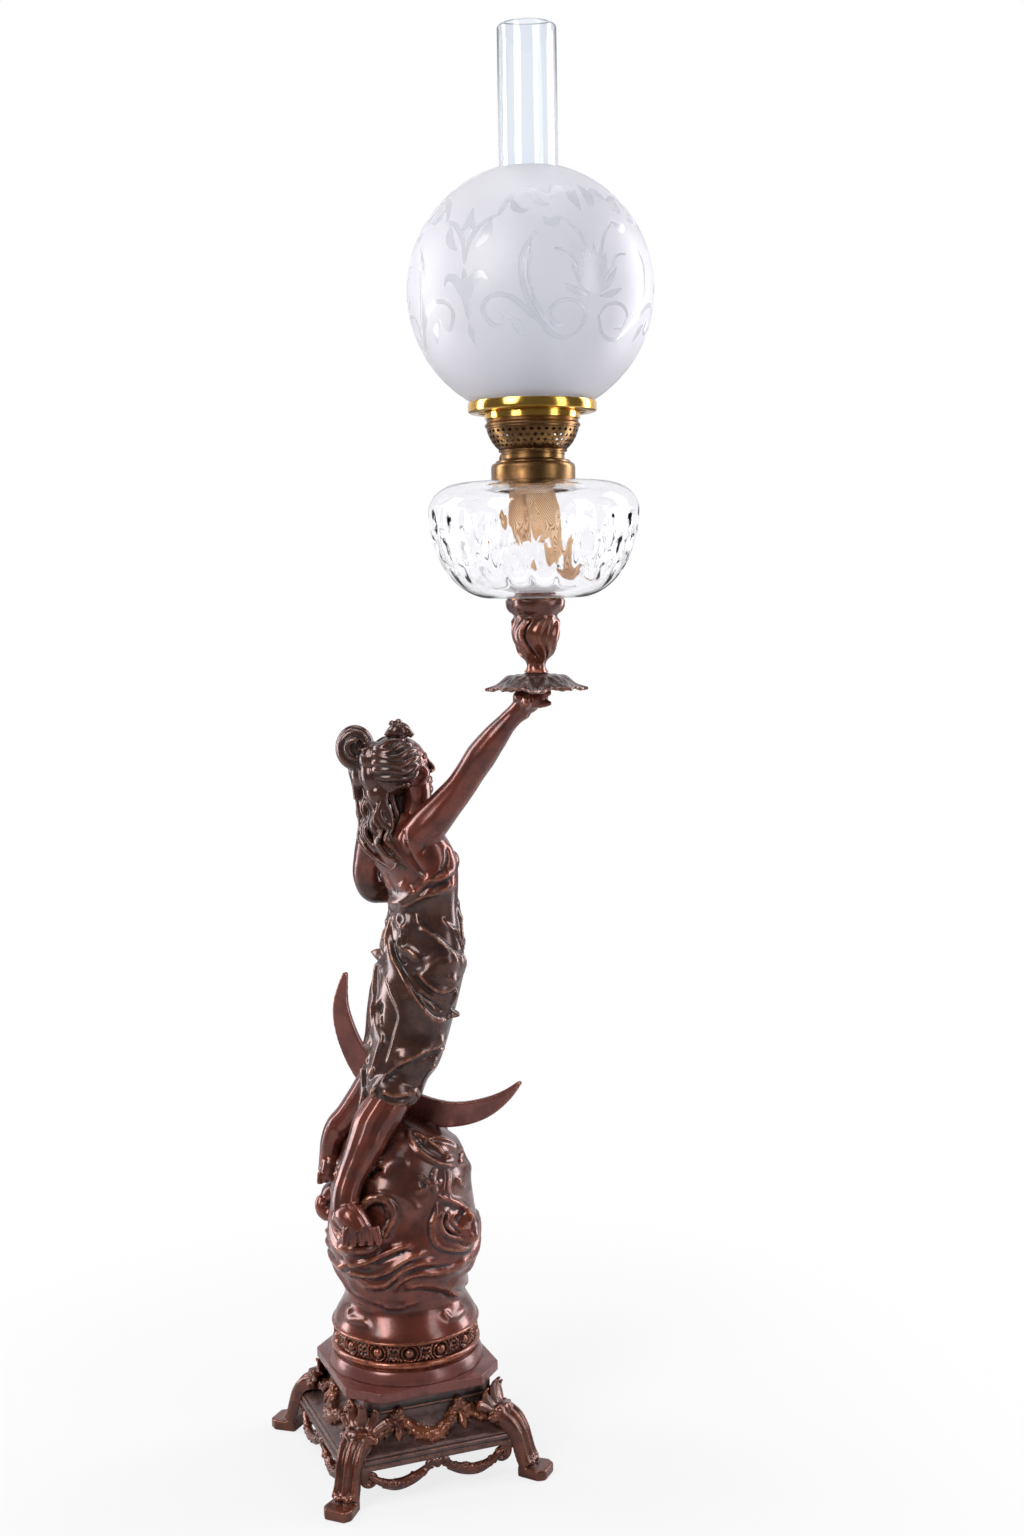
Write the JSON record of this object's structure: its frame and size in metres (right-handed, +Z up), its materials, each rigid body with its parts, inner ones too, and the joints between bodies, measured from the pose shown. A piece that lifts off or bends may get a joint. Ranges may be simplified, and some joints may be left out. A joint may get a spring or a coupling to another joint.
{
  "type": "figural oil lamp",
  "caption": "Cast figure on a celestial globe with a crescent holds up a glass oil font with burner, ball shade and chimney, on a square footed base.",
  "frame": {"origin": "on the plane of the four feet, under the middle of the whole lamp's outline", "axes": "+X along the base's front edge, -Y towards the front, +Z up"},
  "size_m": [0.3058, 0.3056, 1.2235],
  "materials": {
    "patinated_spelter": "cast spelter with a red-brown bronze patina, satin gloss, coppery on worn edges",
    "aged_brass": "aged pressed brass",
    "polished_brass": "polished brass",
    "clear_glass": "clear glass",
    "frosted_glass": "acid-frosted glass with a clear etched scroll band",
    "wick_cotton": "woven cotton",
    "plaster": "set plaster",
    "steel_hardware": "plain steel"
  },
  "bodies": {
    "stand": {"plinth_casting": "patinated_spelter", "leg_front_left": "patinated_spelter", "leg_front_right": "patinated_spelter", "leg_back_right": "patinated_spelter", "leg_back_left": "patinated_spelter", "garland_front": "patinated_spelter", "garland_right": "patinated_spelter", "garland_back": "patinated_spelter", "garland_left": "patinated_spelter", "octagon_plate": "patinated_spelter", "dish_ring": "patinated_spelter", "frieze_ring": "patinated_spelter", "globe_casting": "patinated_spelter", "tie_rod": "steel_hardware", "rod_washer": "steel_hardware", "rod_nut": "steel_hardware", "crescent_screw": "steel_hardware", "cup_stud": "steel_hardware", "crescent": "patinated_spelter", "figure_body": "patinated_spelter", "figure_head": "patinated_spelter", "figure_right_arm": "patinated_spelter", "figure_left_arm": "patinated_spelter", "figure_right_leg": "patinated_spelter", "figure_left_leg": "patinated_spelter", "drip_pan": "patinated_spelter", "socket_cup": "patinated_spelter"},
    "font": {"font_peg": "aged_brass", "font_glass": "clear_glass", "font_collar": "aged_brass", "collar_plaster": "plaster"},
    "burner": {"burner_base": "aged_brass", "raiser_bush": "aged_brass", "wick_tube_outer": "aged_brass", "wick_tube_inner": "aged_brass", "air_basket": "aged_brass", "gallery_crown": "aged_brass"},
    "raiser": {"wick_shaft": "aged_brass", "wick_wheels": "aged_brass", "wick_knob": "aged_brass"},
    "wick": {"wick": "wick_cotton"},
    "shade_ring": {"shade_ring": "polished_brass"},
    "shade": {"globe_shade": "frosted_glass"},
    "chimney": {"glass_chimney": "clear_glass"}
  },
  "joints": [
    {"name": "font_lift", "type": "slide", "parent": "stand", "child": "font", "axis": [0, 0, 1], "range_m": [0, 0.03]},
    {"name": "burner_lift", "type": "slide", "parent": "font", "child": "burner", "axis": [0, 0, 1], "range_m": [0, 0.04]},
    {"name": "knob_turn", "type": "hinge", "parent": "burner", "child": "raiser", "pos_m": [0.03344, -0.0446, 0.882], "axis": [-0.3657, -0.9307, 0], "range_deg": [0, 230]},
    {"name": "wick_rise", "type": "slide", "parent": "burner", "child": "wick", "axis": [0, 0, 1], "range_m": [0, 0.012]},
    {"name": "shade_ring_lift", "type": "slide", "parent": "burner", "child": "shade_ring", "axis": [0, 0, 1], "range_m": [0, 0.315]},
    {"name": "shade_lift", "type": "slide", "parent": "shade_ring", "child": "shade", "axis": [0, 0, 1], "range_m": [0, 0.31]},
    {"name": "chimney_lift", "type": "slide", "parent": "burner", "child": "chimney", "axis": [0, 0, 1], "range_m": [0, 0.21]}
  ],
  "couplings": [
    {"joint": "knob_turn", "follows": "wick_rise", "rad_per_m": 333.33}
  ]
}
